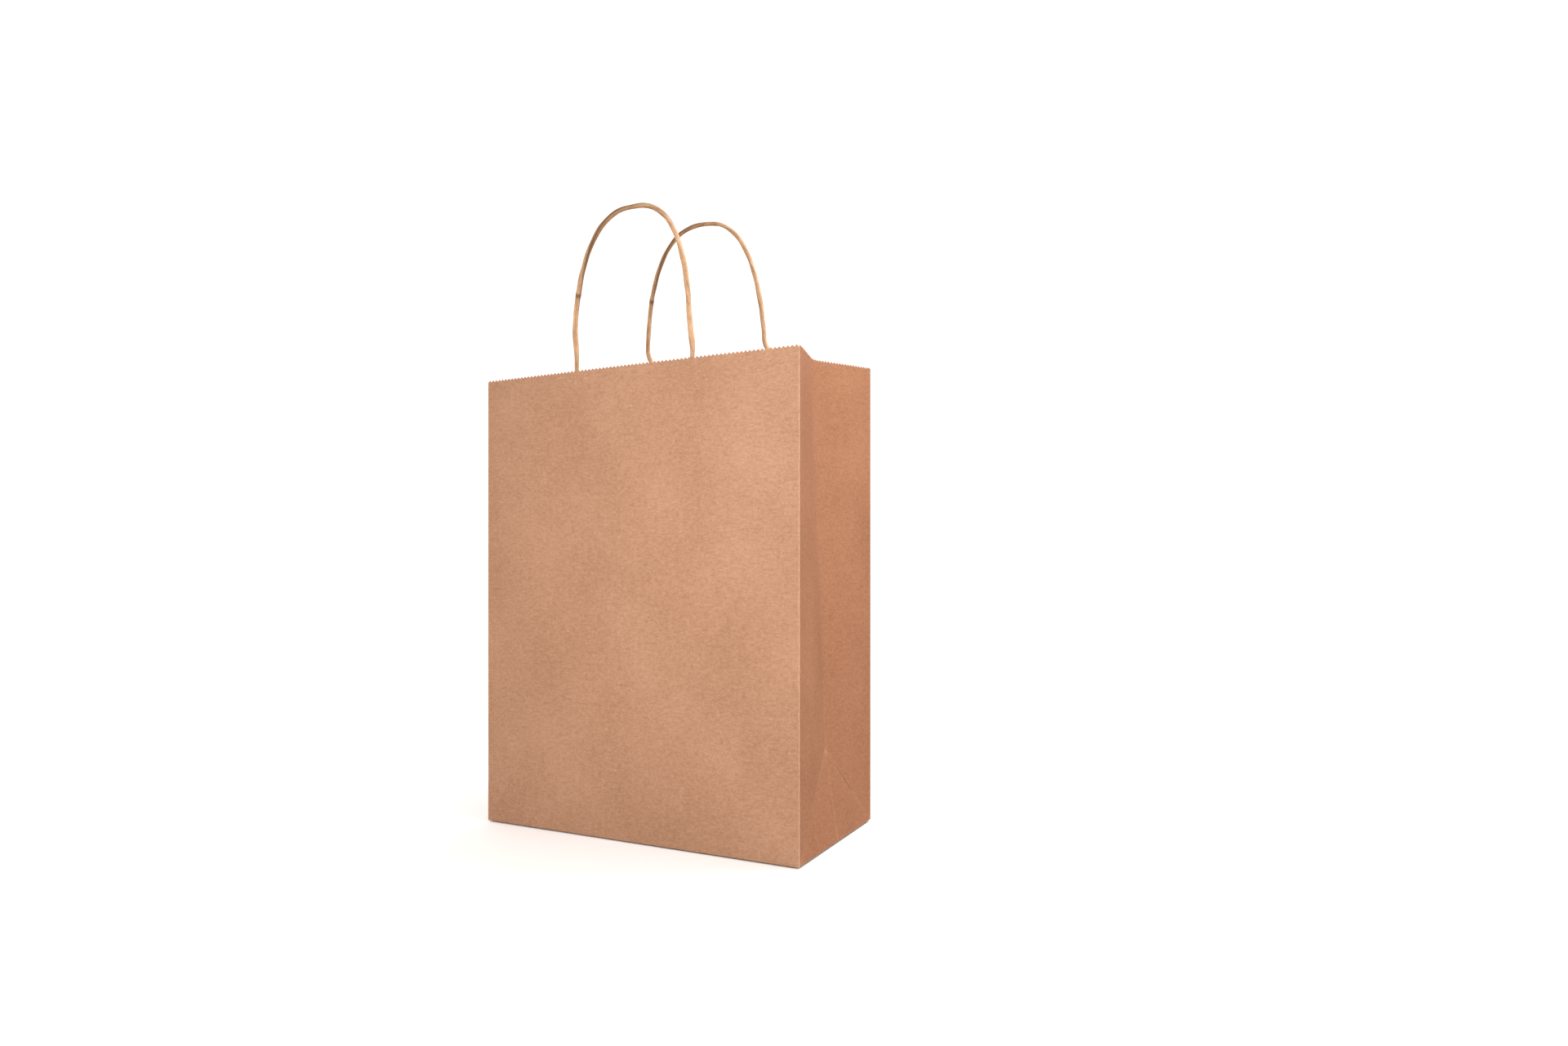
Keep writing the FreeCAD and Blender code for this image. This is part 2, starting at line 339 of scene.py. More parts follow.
def gusset_half(hand, side):
    """Front (side -1) or back (+1) half of the right (hand +1) or left (-1) gusset."""
    name = ("right" if hand > 0 else "left") + "_gusset_" + ("front" if side < 0 else "back")
    reach = HALF_GUSSET - FOLD_REACH - SEAM_GAP
    along = FOLD_REACH + tooth_columns(reach, GUSSET_TEETH)
    low = along + SEAM_GAP * 2 if side < 0 else np.full_like(along, LEVEL_Z + SEAM_GAP)
    top = pinked_height(
        along - FOLD_REACH, reach / GUSSET_TEETH, hand * CORNER_X,
        side * INNER_Y * (1 - along / HALF_GUSSET))
    rows = spaced(0, 1, 0.03, fine=(0.0014, 0.003, 0.006, 0.012))
    z = low[None, :] + (top - low)[None, :] * rows[:, None]
    share = np.broadcast_to(along / HALF_GUSSET, z.shape)
    inner, outward = gusset_point(share, z, hand, side)
    wear = line_falloff(share * HALF_GUSSET)
    if side < 0:
        diagonal = (z - share * HALF_GUSSET) / math.sqrt(2)
        wear = wear + 0.55 * line_falloff(diagonal, 0.9 * MM)
    flat = gusset_flat(share, z, hand, side)
    from_foot = np.clip(z - LEVEL_Z, 0, None)
    # Pale line up the centre crease, strongest near the foot: worn fibres plus a painted
    # highlight.
    crease_pale_and_highlight = 0.10 + 0.55 * np.exp(-from_foot / (26 * MM))
    wear = wear + crease_pale_and_highlight * line_falloff(HALF_GUSSET * (1 - share), 0.7 * MM)
    piece = paper_sheet(name + "_sheet", inner, outward, flat, np.clip(wear, 0, 1), name)
    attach(piece, name)
    flatten(piece)
    return piece


def foot_corner(hand):
    """Small right triangle at the back of a gusset's foot."""
    name = ("right" if hand > 0 else "left") + "_foot_corner"
    rows = spaced(0, 1, 0.06, fine=(0.012, 0.03))[:, None]
    columns = spaced(0, 1, 0.08, fine=(0.012, 0.03))[None, :]
    z = (2 * FOLD_REACH + (LEVEL_Z - 2 * FOLD_REACH - SEAM_GAP) * rows) + 0 * columns
    along = FOLD_REACH + (z - FOLD_REACH - 2 * SEAM_GAP) * columns
    inner, outward = gusset_point(along / HALF_GUSSET, z, hand, 1)
    wear = line_falloff(along) + 0.5 * line_falloff((z - along) / math.sqrt(2), 0.9 * MM)
    flat = gusset_flat(along / HALF_GUSSET, z, hand, 1)
    piece = paper_sheet(name + "_sheet", inner, outward, flat, np.clip(wear, 0, 1), name)
    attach(piece, name)
    flatten(piece)
    return piece


def foot_apex(hand):
    """Top of a foot triangle, on the gusset's centre crease."""
    return np.array([hand * float(crease_x(LEVEL_Z)), 0.0, LEVEL_Z])


def foot_directions(hand):
    """Directions up the foot triangle and out of its face."""
    upward = unit(foot_apex(hand) - np.array([hand * CORNER_X, 0, BASE_TOP]))
    return upward, np.array([hand * upward[2], 0.0, -hand * upward[0]])


def foot_triangle(hand):
    """Triangle that stands on the side fold of the base, with a ridge up its middle."""
    name = ("right" if hand > 0 else "left") + "_foot_triangle"
    upward, out = foot_directions(hand)
    slant = (LEVEL_Z - BASE_TOP) / upward[2]
    middle = tuple(0.5 + gap for gap in (0.004, 0.008, 0.016, 0.03))
    columns = np.unique(np.concatenate([
        spaced(0, 1, 0.05, fine=(0.008, 0.016)), middle, [1 - place for place in middle]]))
    rows = spaced(0, 0.997, 0.05, fine=(0.006, 0.013, 0.024))[:, None]
    half = (INNER_Y - 3 * SEAM_GAP) * (1 - rows)
    y = half * (2 * columns[None, :] - 1)
    height = BASE_FOLD_REACH + (slant - BASE_FOLD_REACH) * rows + 0 * y
    edge = (half - np.abs(y)) / math.sqrt(2)
    ridge = 0.25 * MM * np.exp(-np.abs(y) / (2.5 * MM)) * (1 - rows)
    inner = np.stack([hand * CORNER_X + 0 * y, y, BASE_TOP + 0 * y], -1)
    inner = inner + height[..., None] * upward + ridge[..., None] * out
    outward = np.broadcast_to(out, inner.shape)
    wear = line_falloff(height) + 0.55 * line_falloff(edge, 0.9 * MM)
    wear = wear + (0.75 - 0.35 * rows) * line_falloff(y, 0.8 * MM)
    # Pale spot at the apex, where the creases meet: worn fibres plus a painted highlight.
    wear = wear + 0.9 * line_falloff(slant - height, 3.0 * MM)
    flat = np.stack([hand * (CORNER_X + HALF_GUSSET + y), height, 0 * y], -1)
    piece = paper_sheet(name + "_sheet", inner, outward, flat, np.clip(wear, 0, 1), name)
    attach(piece, name)
    flatten(piece)
    return piece


# ------------------------------------------------------------------ folds
def fold_bead(name, ends, faces_a, faces_b, flat, reach=FOLD_REACH, wear_and_highlight_level=1.0):
    """Rounded fold along the line between two ends.  faces_a and faces_b are each a direction
    away from the line, in the sheet, and the sheet's outward direction."""
    start, end = (np.array(point, float) for point in ends)
    (toward_a, out_a), (toward_b, out_b) = [
        (unit(toward), unit(out)) for toward, out in (faces_a, faces_b)]
    length = np.linalg.norm(end - start)
    rows = np.linspace(0, 1, max(3, int(length / (4 * MM))))[:, None, None]
    turn = np.linspace(0, 1, FOLD_STEPS + 1)[None, :, None]
    bend = (1 - turn) ** 2 * toward_a + turn ** 2 * toward_b
    inner = start + (end - start) * rows + reach * bend
    normal = out_a * (1 - turn) + out_b * turn
    normal = normal / np.linalg.norm(normal, axis=-1, keepdims=True) + 0 * rows
    flat_start, flat_end, flat_across = (np.array(value, float) for value in flat)
    coordinates = flat_start + (flat_end - flat_start) * rows
    coordinates = coordinates + flat_across * (2 * turn - 1) * reach
    # The whole bead gets one level of pale worn fibres and painted highlight.
    wear = np.full(inner.shape[:2], wear_and_highlight_level)
    piece = paper_sheet(name, inner, normal, coordinates, wear, None)
    middle = (start + end) / 2
    return piece, middle + toward_a * reach, middle + toward_b * reach


def corner_beads(hand):
    """Upright folds at the front and back corners of one side."""
    label = "right" if hand > 0 else "left"
    corner_x = hand * CORNER_X
    front_top, back_top = [
        TOP_Z - TOOTH_DEPTH + cut_offset(corner_x, side * INNER_Y) for side in (-1, 1)]
    front_out, back_out = gusset_normal(hand, -1), gusset_normal(hand, 1)
    along = np.array([hand, 0, 0])
    bead, start, end = fold_bead(
        label + "_front_corner_fold",
        [(corner_x, -INNER_Y, FOLD_REACH), (corner_x, -INNER_Y, front_top)],
        [(-hand, 0, 0), (0, -1, 0)],
        [(-hand * SIN_GUSSET, COS_GUSSET, 0), front_out],
        [(corner_x, 0, 0), (corner_x, front_top, 0), along])
    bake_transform(bead)
    corner_flat = hand * (CORNER_X + 2 * HALF_GUSSET)
    gusset_face = [(-hand * SIN_GUSSET, -COS_GUSSET, 0), back_out]
    back_face = [(-hand, 0, 0), (0, 1, 0)]
    upper, start, end = fold_bead(
        label + "_back_corner_fold",
        [(corner_x, INNER_Y, LEVEL_Z + SEAM_GAP), (corner_x, INNER_Y, back_top)],
        gusset_face, back_face,
        [(corner_flat, LEVEL_Z, 0), (corner_flat, back_top, 0), along])
    if hand > 0:
        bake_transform(upper)
    else:
        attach(upper, "back_panel")
    lower, start, end = fold_bead(
        label + "_foot_back_fold",
        [(corner_x, INNER_Y, FOLD_REACH), (corner_x, INNER_Y, LEVEL_Z - SEAM_GAP)],
        gusset_face, back_face,
        [(corner_flat, 0, 0), (corner_flat, LEVEL_Z, 0), along])
    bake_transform(lower)
    return bead, upper, lower


def foot_bead(hand):
    """Fold along the side of the base, which the foot triangle stands on."""
    label = "right" if hand > 0 else "left"
    upward, out = foot_directions(hand)
    reach = INNER_Y - FOLD_REACH
    middle = hand * (CORNER_X + HALF_GUSSET)
    bead, start, end = fold_bead(
        label + "_side_base_fold",
        [(hand * CORNER_X, -reach, BASE_TOP), (hand * CORNER_X, reach, BASE_TOP)],
        [upward, out],
        [(-hand, 0, 0), (0, 0, -1)],
        [(middle - reach, 0, 0), (middle + reach, 0, 0), (0, -1, 0)], BASE_FOLD_REACH, 0.0)
    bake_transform(bead)
    return bead


def long_beads():
    """Folds along the front and back of the base, and the level crease of the back."""
    reach = CORNER_X - FOLD_REACH
    back_flat = 2 * (CORNER_X + HALF_GUSSET)
    front, _, _ = fold_bead(
        "front_base_fold",
        [(-reach, -INNER_Y, PAPER), (reach, -INNER_Y, PAPER)],
        [(0, 0, 1), (0, -1, 0)],
        [(0, 1, 0), (0, 0, -1)],
        [(-reach, 0, 0), (reach, 0, 0), (0, -1, 0)], BASE_FOLD_REACH, 0.0)
    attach(front, "front_panel")
    back, start, end = fold_bead(
        "back_base_fold",
        [(-reach, INNER_Y, 2 * PAPER), (reach, INNER_Y, 2 * PAPER)],
        [(0, 0, 1), (0, 1, 0)],
        [(0, -1, 0), (0, 0, -1)],
        [(back_flat + reach, 0, 0), (back_flat - reach, 0, 0), (0, -1, 0)], BASE_FOLD_REACH, 0.0)
    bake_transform(back)
    level, start, end = fold_bead(
        "back_level_fold",
        [(-reach, INNER_Y, LEVEL_Z), (reach, INNER_Y, LEVEL_Z)],
        [(0, 0, -1), (0, 1, 0)],
        [(0, 0, 1), (0, 1, 0)],
        [(back_flat + reach, LEVEL_Z, 0), (back_flat - reach, LEVEL_Z, 0), (0, 1, 0)])
    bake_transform(level)
    return front, back, level


# ------------------------------------------------------------------ base
def flap_sheet(name, corners, layer, flat_shift):
    """A flat base flap between its four corners: outer edge first, then free edge."""
    rows = spaced(0, 1, 0.08, fine=(0.01, 0.03))[:, None, None]
    columns = spaced(0, 1, 0.04, fine=(0.004, 0.012))[None, :, None]
    a, b, c, d = (np.array([x, y, 0.0]) for x, y in corners)
    spot = (a + (b - a) * columns) * (1 - rows) + (d + (c - d) * columns) * rows
    dent = 0.04 * MM * ripple(spot[..., 0] * 1.7, spot[..., 1] * 2.3, layer + 11)
    inner = spot.copy()
    inner[..., 2] = (layer + 1) * PAPER + np.abs(dent) * (1 if layer == 2 else 0)
    outward = np.broadcast_to(np.array([0.0, 0.0, -1.0]), inner.shape)
    depth = rows[..., 0] + 0 * spot[..., 0]
    wear = line_falloff(depth * INNER_Y) + 0.35 * line_falloff((1 - depth) * INNER_Y, 0.4 * MM)
    flat = spot + np.array([flat_shift, -0.4, 0.0])
    piece = paper_sheet(name + "_sheet", inner, outward, flat, np.clip(wear, 0, 1), name)
    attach(piece, "base")
    return piece


def base_flaps():
    """Two long flaps with 45 degree ends, glued under two side flaps."""
    edge = INNER_Y - BASE_FOLD_REACH
    reach = CORNER_X - BASE_FOLD_REACH
    depth = FLAP_REACH + edge
    pieces = []
    for name, side, layer in (("base_front_flap", -1, 0), ("base_back_flap", 1, 1)):
        free = side * (edge - depth)
        outline = [(-reach, side * edge), (reach, side * edge)]
        outline += [(reach - depth, free), (depth - reach, free)]
        pieces.append(flap_sheet(name, outline, layer, 0.7 * layer))
    for name, hand in (("base_right_flap", 1), ("base_left_flap", -1)):
        outline = [(hand * reach, -edge), (hand * reach, edge)]
        outline += [(hand * SIDE_FLAP_INNER, edge), (hand * SIDE_FLAP_INNER, -edge)]
        pieces.append(flap_sheet(name, outline, 2, 1.5 + hand * 0.4))
    return pieces


# ------------------------------------------------------------------ patches and seam
def seam_tab(name, body):
    """Glued overlap of the bag's one long seam, inside the back panel."""
    low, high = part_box(name)
    x, z = np.meshgrid(spaced(low.x, high.x, 3 * MM), spaced(low.z, high.z, 8 * MM))
    inner = np.stack([x, low.y + panel_bow(x, z, 1), z], -1)
    outward = np.broadcast_to(np.array([0.0, 1.0, 0.0]), inner.shape)
    flat = np.stack([x + 1.3, z, np.zeros_like(z)], -1)
    wear = 0.3 * line_falloff(high.x - x, 0.4 * MM)
    piece = paper_sheet(name + "_sheet", inner, outward, flat, wear, name)
    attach(piece, body)
    return piece


def tent_height(distance, drop):
    """How far the inner patch stands off around a cord end, sloping down beside it."""
    radius = CORD_RADIUS + 0.12 * MM
    peak = 2 * CORD_RADIUS + 0.1 * MM
    round_part = peak - radius + np.sqrt(np.clip(radius ** 2 - distance ** 2, 0, None))
    slope = np.clip((distance - radius * 0.8) / TENT_WIDTH, 0, 1)
    draped = (peak - radius * 0.4) * (1 - slope) ** 2 * (1 + 2 * slope)
    return np.where(distance < radius * 0.8, round_part, draped) * drop


def handle_patch(place, side):
    """Outer and inner paper patches that hold one handle's cord ends."""
    low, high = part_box(place + "_patch_outer")
    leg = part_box(place + "_handle_ends")[1].x - CORD_RADIUS
    cord_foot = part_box(place + "_handle_ends")[0].z
    leg_columns = [hand * leg + gap * MM for hand in (-1, 1) for gap in np.arange(-6, 6.1, 0.4)]
    x = np.unique(np.round(np.concatenate([spaced(low.x, high.x, 4 * MM), leg_columns]), 6))
    x, z = np.meshgrid(x, spaced(low.z, high.z, 1.5 * MM))
    outward = np.broadcast_to(np.array([0.0, side, 0.0]), x.shape + (3,))
    rim = np.minimum(np.minimum(x - low.x, high.x - x), np.minimum(z - low.z, high.z - z))
    wear = 0.35 * line_falloff(rim, 0.5 * MM)
    flat = np.stack([x * 1.1 + 2.2 + side, z, np.zeros_like(z)], -1)
    up = z + cut_offset(x, side * INNER_Y)
    face = INNER_Y + panel_bow(x, up, side)
    inner = np.stack([x, side * (face - PAPER), up], -1)
    outer_patch = paper_sheet(
        place + "_patch_outer_sheet", inner, outward, flat, wear, place + "_patch_outer")
    drop = np.clip((z - cord_foot + 5 * MM) / (5 * MM), 0, 1)
    drop = drop * drop * (3 - 2 * drop)
    distance = np.minimum(np.abs(x - leg), np.abs(x + leg))
    pucker = 0.05 * MM * (1 + ripple(x * 6, z * 5, side + 20)) * np.clip(rim / (4 * MM), 0, 1)
    stand_off = np.maximum(tent_height(distance, drop), pucker)
    inner = np.stack([x, side * (face - 2 * PAPER - stand_off), up], -1)
    inner_patch = paper_sheet(
        place + "_patch_inner_sheet", inner, outward, flat + 0.9,
        np.clip(wear + 0.25 * line_falloff(distance, 0.8 * MM) * drop, 0, 1),
        place + "_patch_inner")
    for piece in (outer_patch, inner_patch):
        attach(piece, place + "_panel")
    return outer_patch, inner_patch


# ------------------------------------------------------------------ handles
# Rack and knob are shares: of a foot's distance from the middle, and of the loop's height.
HANDLES = {
    "front": {"side": -1, "lean": 2.0, "rack": -0.05, "knob": 0.45, "phase": 0.4},
    "back": {"side": 1, "lean": 1.5, "rack": -0.25, "knob": 0.55, "phase": 2.6},
}


def loop_route(foot, glued, top, rack):
    """The cord in its own plane: up one glued end, round a full arch and down the other.  Above
    its feet the free loop stands a share of their distance to one side."""
    turn = np.linspace(math.pi, 0, ROUTE_POINTS)
    across = foot * np.sign(np.cos(turn)) * np.abs(np.cos(turn)) ** (2 / ARCH_SQUARENESS)
    up = top * np.clip(np.sin(turn), 0, 1) ** (2 / ARCH_SQUARENESS)
    bend = np.clip(up / (RACK_REACH * top), 0, 1)
    across = across + rack * foot * bend ** 2 * (3 - 2 * bend)
    return np.concatenate([[(-foot, glued)], np.stack([across, up], 1), [(foot, glued)]])


def evenly_spaced(points, step):
    """Points a step apart along a route, and how far along it each one is."""
    gaps = np.linalg.norm(np.diff(points, axis=0), axis=1)
    run = np.concatenate([[0], np.cumsum(gaps)])
    places = np.linspace(0, run[-1], int(run[-1] / step) + 1)
    return np.stack([np.interp(places, run, column) for column in points.T], 1), places


def cord_profile(angle, turned, wound, along, phase):
    """Cord radius around its section, with rounded lobes that twist and one slow wrap edge,
    and the painted shade beside that edge's groove."""
    lobes = 0.055 * np.cos(3 * (angle - turned)) + 0.03 * np.cos(2 * (angle - 0.6 * turned))
    wrap = np.mod(angle - wound + math.pi, 2 * math.pi) - math.pi
    groove = -0.12 * np.exp(-(wrap / 0.22) ** 2)
    step = 0.05 * np.exp(-np.clip(wrap, 0, None) / 0.8) * (wrap > 0)
    lumps = 0.03 * np.sin(along / (3.1 * MM) + phase) + 0.025 * np.sin(along / (7.3 * MM))
    return 1 + lobes + groove + step + lumps, np.exp(-(wrap / 0.7) ** 2)


def handle_cord(place, side, lean, rack, knob, phase):
    """Twisted paper cord: two glued ends and the loop between them, as one piece."""
    pivot = PIVOT[place + "_handle_hinge"]
    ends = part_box(place + "_handle_ends")
    foot = ends[1].x - CORD_RADIUS
    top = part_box(place + "_handle_loop")[1].z - CORD_RADIUS - pivot[2]
    route = loop_route(foot, ends[0].z - pivot[2], top, rack)
    path, along = evenly_spaced(route, CORD_STEP)
    across, up = path[:, 0], path[:, 1]
    tilt = math.radians(lean) * (up > 0)
    centre = np.stack([
        across, pivot[1] - side * np.sin(tilt) * up, pivot[2] + np.cos(tilt) * up], 1)
    sway = SWAY * np.sin(along / SWAY_LENGTH + phase) * np.clip(up / SWAY_REACH, 0, 1)
    centre[:, 1] -= side * sway
    tangent = np.gradient(centre, along, axis=0)
    tangent /= np.linalg.norm(tangent, axis=1, keepdims=True)
    binormal = np.cross(tangent, np.array([0.0, 1.0, 0.0]))
    binormal /= np.linalg.norm(binormal, axis=1, keepdims=True)
    depth = np.cross(binormal, tangent)
    left = across < 0
    thickness = 1 + LEG_SWELL * np.clip(up / SWELL_REACH, 0, 1)
    thickness = thickness - ARCH_THINNING * np.clip(up / top, 0, 1) ** 2
    beside_knob = np.where(left, up - knob * top, top)
    knot = KNOB_SWELL * np.exp(-((beside_knob - KNOB_LIFT) / KNOB_LENGTH) ** 2)
    angle = np.linspace(0, 2 * math.pi, CORD_SIDES, endpoint=False)[None, :]
    twisting = np.where(left & (up < knob * top), TWIST_BELOW_KNOB, 1.0)
    turned = np.cumsum(twisting)[:, None] * CORD_STEP * 2 * math.pi / TWIST_PITCH + phase
    from_start = along[:, None] - WRAP_START * along[-1]
    wound = from_start * 2 * math.pi / WRAP_PITCH + WRAP_START_ANGLE
    # The second value is painted shade beside the wrap edge's groove.
    ratio, groove = cord_profile(angle, turned, wound, along[:, None], phase)
    radius = CORD_RADIUS * (thickness + knot)[:, None] * ratio
    rings = centre[:, None, :] + radius[..., None] * (
        np.cos(angle)[..., None] * binormal[:, None, :]
        + np.sin(angle)[..., None] * depth[:, None, :])
    count = len(centre)
    faces = []
    for i in range(count - 1):
        for k in range(CORD_SIDES):
            nxt = (k + 1) % CORD_SIDES
            low, high = i * CORD_SIDES, (i + 1) * CORD_SIDES
            faces.append((low + k, low + nxt, high + nxt, high + k))
    faces.append(tuple(range(CORD_SIDES)))
    faces.append(tuple((count - 1) * CORD_SIDES + k for k in range(CORD_SIDES)))
    lay = np.stack([
        along[:, None] + 0 * angle, CORD_RADIUS * np.cos(angle - turned),
        CORD_RADIUS * np.sin(angle - turned)], -1)
    # Painted shade: dark beside the wrap edge's groove and in a band just under the knob's
    # swelling.
    painted_shade = groove + KNOB_PAINTED_SHADE * np.exp(-(beside_knob / KNOB_SHADE_LENGTH) ** 2)[:, None]
    attributes = {
        "lay": ("FLOAT_VECTOR", lay),
        "groove": ("FLOAT", np.clip(painted_shade, 0, 1)),
    }
    piece = mesh_object(place + "_handle_cord", rings, faces, attributes)
    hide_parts(place + "_handle_loop", place + "_handle_ends")
    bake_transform(piece)
    return piece


# ------------------------------------------------------------------ materials
class Nodes:
    """Short ways to add and link shader nodes."""

    def __init__(self, name):
        self.material = bpy.data.materials.new(name)
        self.material.use_nodes = True
        self.tree = self.material.node_tree
        self.tree.nodes.clear()

    def add(self, kind, values=None, links=None, **settings):
        made = self.tree.nodes.new("ShaderNode" + kind)
        for key, value in settings.items():
            setattr(made, key, value)
        for key, value in (values or {}).items():
            made.inputs[key].default_value = value
        for key, source in (links or {}).items():
            self.tree.links.new(source, made.inputs[key])
        return made

    def attribute(self, name):
        return self.add("Attribute", attribute_name=name)

    def stretched(self, source, scale):
        return self.add("Mapping", {"Scale": scale}, {"Vector": source}).outputs["Vector"]

    def noise(self, source, scale, detail=2.0, roughness=0.5):
        found = self.add(
            "TexNoise", {"Scale": 1.0, "Detail": detail, "Roughness": roughness},
            {"Vector": self.stretched(source, scale)})
        return found.outputs["Fac"]

    def math(self, operation, a, b):
        made = self.add("Math", operation=operation)
        for socket, value in zip(made.inputs, (a, b)):
            if isinstance(value, (int, float)):
                socket.default_value = value
            else:
                self.tree.links.new(value, socket)
        return made.outputs[0]

    def span(self, source, low, high, to_low=0.0, to_high=1.0):
        made = self.add(
            "MapRange", {"From Min": low, "From Max": high, "To Min": to_low, "To Max": to_high},
            {"Value": source})
        return made.outputs["Result"]

    def layered(self, start, layers):
        """A start value plus noises, each with its half range about 0.5 and its swing."""
        total = start
        for source, half_range, swing in layers:
            part = self.span(source, 0.5 - half_range, 0.5 + half_range, -swing, swing)
            total = self.math("ADD", part, total)
        return total

    def ramp(self, source, stops):
        made = self.add("ValToRGB", links={"Fac": source})
        band = made.color_ramp
        while len(band.elements) < len(stops):
            band.elements.new(0.5)
        for element, (place, colour) in zip(band.elements, stops):
            element.position = place
            element.color = (*colour, 1)
        return made.outputs["Color"]

    def mix(self, share, a, b, blend="MIX"):
        made = self.add("Mix", data_type="RGBA", blend_type=blend)
        for socket, value in ((made.inputs[0], share), (made.inputs[6], a), (made.inputs[7], b)):
            if isinstance(value, tuple):
                socket.default_value = (*value, 1)
            elif isinstance(value, (int, float)):
                socket.default_value = value
            else:
                self.tree.links.new(value, socket)
        return made.outputs[2]

    def finish(self, colour, roughness, height, strength, distance, **shader):
        bump = self.add("Bump", {"Strength": strength, "Distance": distance}, {"Height": height})
        surface = self.add("BsdfPrincipled", shader.pop("values", None), {
            "Base Color": colour, "Roughness": roughness, "Normal": bump.outputs["Normal"]})
        output = self.add("OutputMaterial")
        self.tree.links.new(surface.outputs["BSDF"], output.inputs["Surface"])
        return self.material


KRAFT_DARK = (0.242, 0.124, 0.069)
KRAFT_MID = (0.315, 0.167, 0.100)
KRAFT_LIGHT = (0.384, 0.216, 0.136)
# Pale colour of flecks and of creases, where it is worn fibres plus a painted highlight.
KRAFT_PALE_AND_HIGHLIGHT = (0.500, 0.325, 0.230)


def kraft_paper(name, paper_tone_and_painted_shade):
    """Brown kraft paper: cloudy felted fibres that run across the bag, flecks, and pale creases
    of worn fibres with a painted highlight.
    """
    n = Nodes(name)
    flat = n.attribute("paper").outputs["Vector"]
    wear = n.attribute("wear").outputs["Fac"]
    clouds = n.noise(flat, (15, 12, 3), 3.0, 0.55)
    blotch = n.noise(flat, (140, 180, 5), 3.0, 0.55)
    felt = n.noise(flat, (360, 470, 7), 2.0, 0.6)
    grain = n.noise(flat, (860, 1400, 8), 2.0, 0.6)
    fibres = n.noise(flat, (180, 1500, 9), 2.0, 0.5)
    tone = n.layered(0.5, [
        (clouds, 0.2, 0.18), (blotch, 0.25, 0.11), (felt, 0.25, 0.25), (grain, 0.25, 0.34),
        (fibres, 0.2, 0.14)])
    colour = n.ramp(tone, [(0.0, KRAFT_DARK), (0.5, KRAFT_MID), (1.0, KRAFT_LIGHT)])
    spots = n.add("TexVoronoi", {"Scale": 1.0}, {"Vector": n.stretched(flat, (150, 260, 11))})
    chosen = n.add("SeparateColor", links={"Color": spots.outputs["Color"]}).outputs["Red"]
    away = spots.outputs["Distance"]
    fleck = n.math("MULTIPLY", n.span(away, 0.16, 0.05), n.span(chosen, 0.80, 0.9))
    colour = n.mix(n.math("MULTIPLY", fleck, 0.35), colour, KRAFT_DARK)
    pale = n.math("MULTIPLY", n.span(away, 0.2, 0.05), n.span(chosen, 0.16, 0.06))
    colour = n.mix(n.math("MULTIPLY", pale, 0.3), colour, KRAFT_PALE_AND_HIGHLIGHT)
    patchy = n.span(n.noise(flat, (900, 240, 3), 2.0), 0.25, 0.7, 0.35, 1.0)
    # Pale creases: worn fibres plus a painted highlight, broken up by noise.
    rubbed_and_highlight = n.math("MULTIPLY", wear, patchy)
    colour = n.mix(n.math("MULTIPLY", rubbed_and_highlight, WEAR_AND_HIGHLIGHT_SHARE), colour, KRAFT_PALE_AND_HIGHLIGHT)
    # The tint: the patches' own paper tone; on the side sheets it is painted shade.
    colour = n.mix(1.0, colour, paper_tone_and_painted_shade, "MULTIPLY")
    height = n.math("ADD", n.math("MULTIPLY", grain, 0.6), n.math("MULTIPLY", fibres, 0.4))
    height = n.math("ADD", height, n.math("MULTIPLY", blotch, 0.8))
    return n.finish(
        colour, n.span(grain, 0.2, 0.8, 0.70, 0.86), height, 0.35, 0.12 * MM,
        values={"Specular IOR Level": 0.06})


CORD_DARK = (0.100, 0.052, 0.026)
CORD_MID = (0.360, 0.200, 0.102)
CORD_LIGHT = (0.530, 0.335, 0.190)


def kraft_cord():
    """Paper cord: pale and dark streaks that follow the twist, and painted shade along the wrap
    edge's groove and just under the knob.
    """
    n = Nodes("kraft_cord")
    lay = n.attribute("lay").outputs["Vector"]
    groove = n.attribute("groove").outputs["Fac"]
    streaks = n.noise(lay, (60, 1500, 1500), 3.0, 0.6)
    blotch = n.noise(lay, (110, 300, 300), 3.0, 0.55)
    grain = n.noise(lay, (1400, 2600, 2600), 2.0, 0.6)
    tone = n.layered(0.55, [(streaks, 0.2, 0.26), (blotch, 0.2, 0.18), (grain, 0.2, 0.12)])
    colour = n.ramp(tone, [(0.0, CORD_DARK), (0.5, CORD_MID), (1.0, CORD_LIGHT)])
    # Painted shade: the cord darkens toward its dark colour where the groove attribute says.
    colour = n.mix(n.math("MULTIPLY", groove, 0.9), colour, CORD_DARK)
    height = n.math("ADD", n.math("MULTIPLY", streaks, 0.9), n.math("MULTIPLY", grain, 0.3))
    return n.finish(
        colour, n.span(blotch, 0.2, 0.8, 0.55, 0.75), height, 0.5, 0.25 * MM,
        values={"Specular IOR Level": 0.2})


def paint(pieces, material):
    """Give the pieces one material, under one slot name."""
    for piece in pieces:
        piece.data.materials.clear()
        piece.data.materials.append(material)


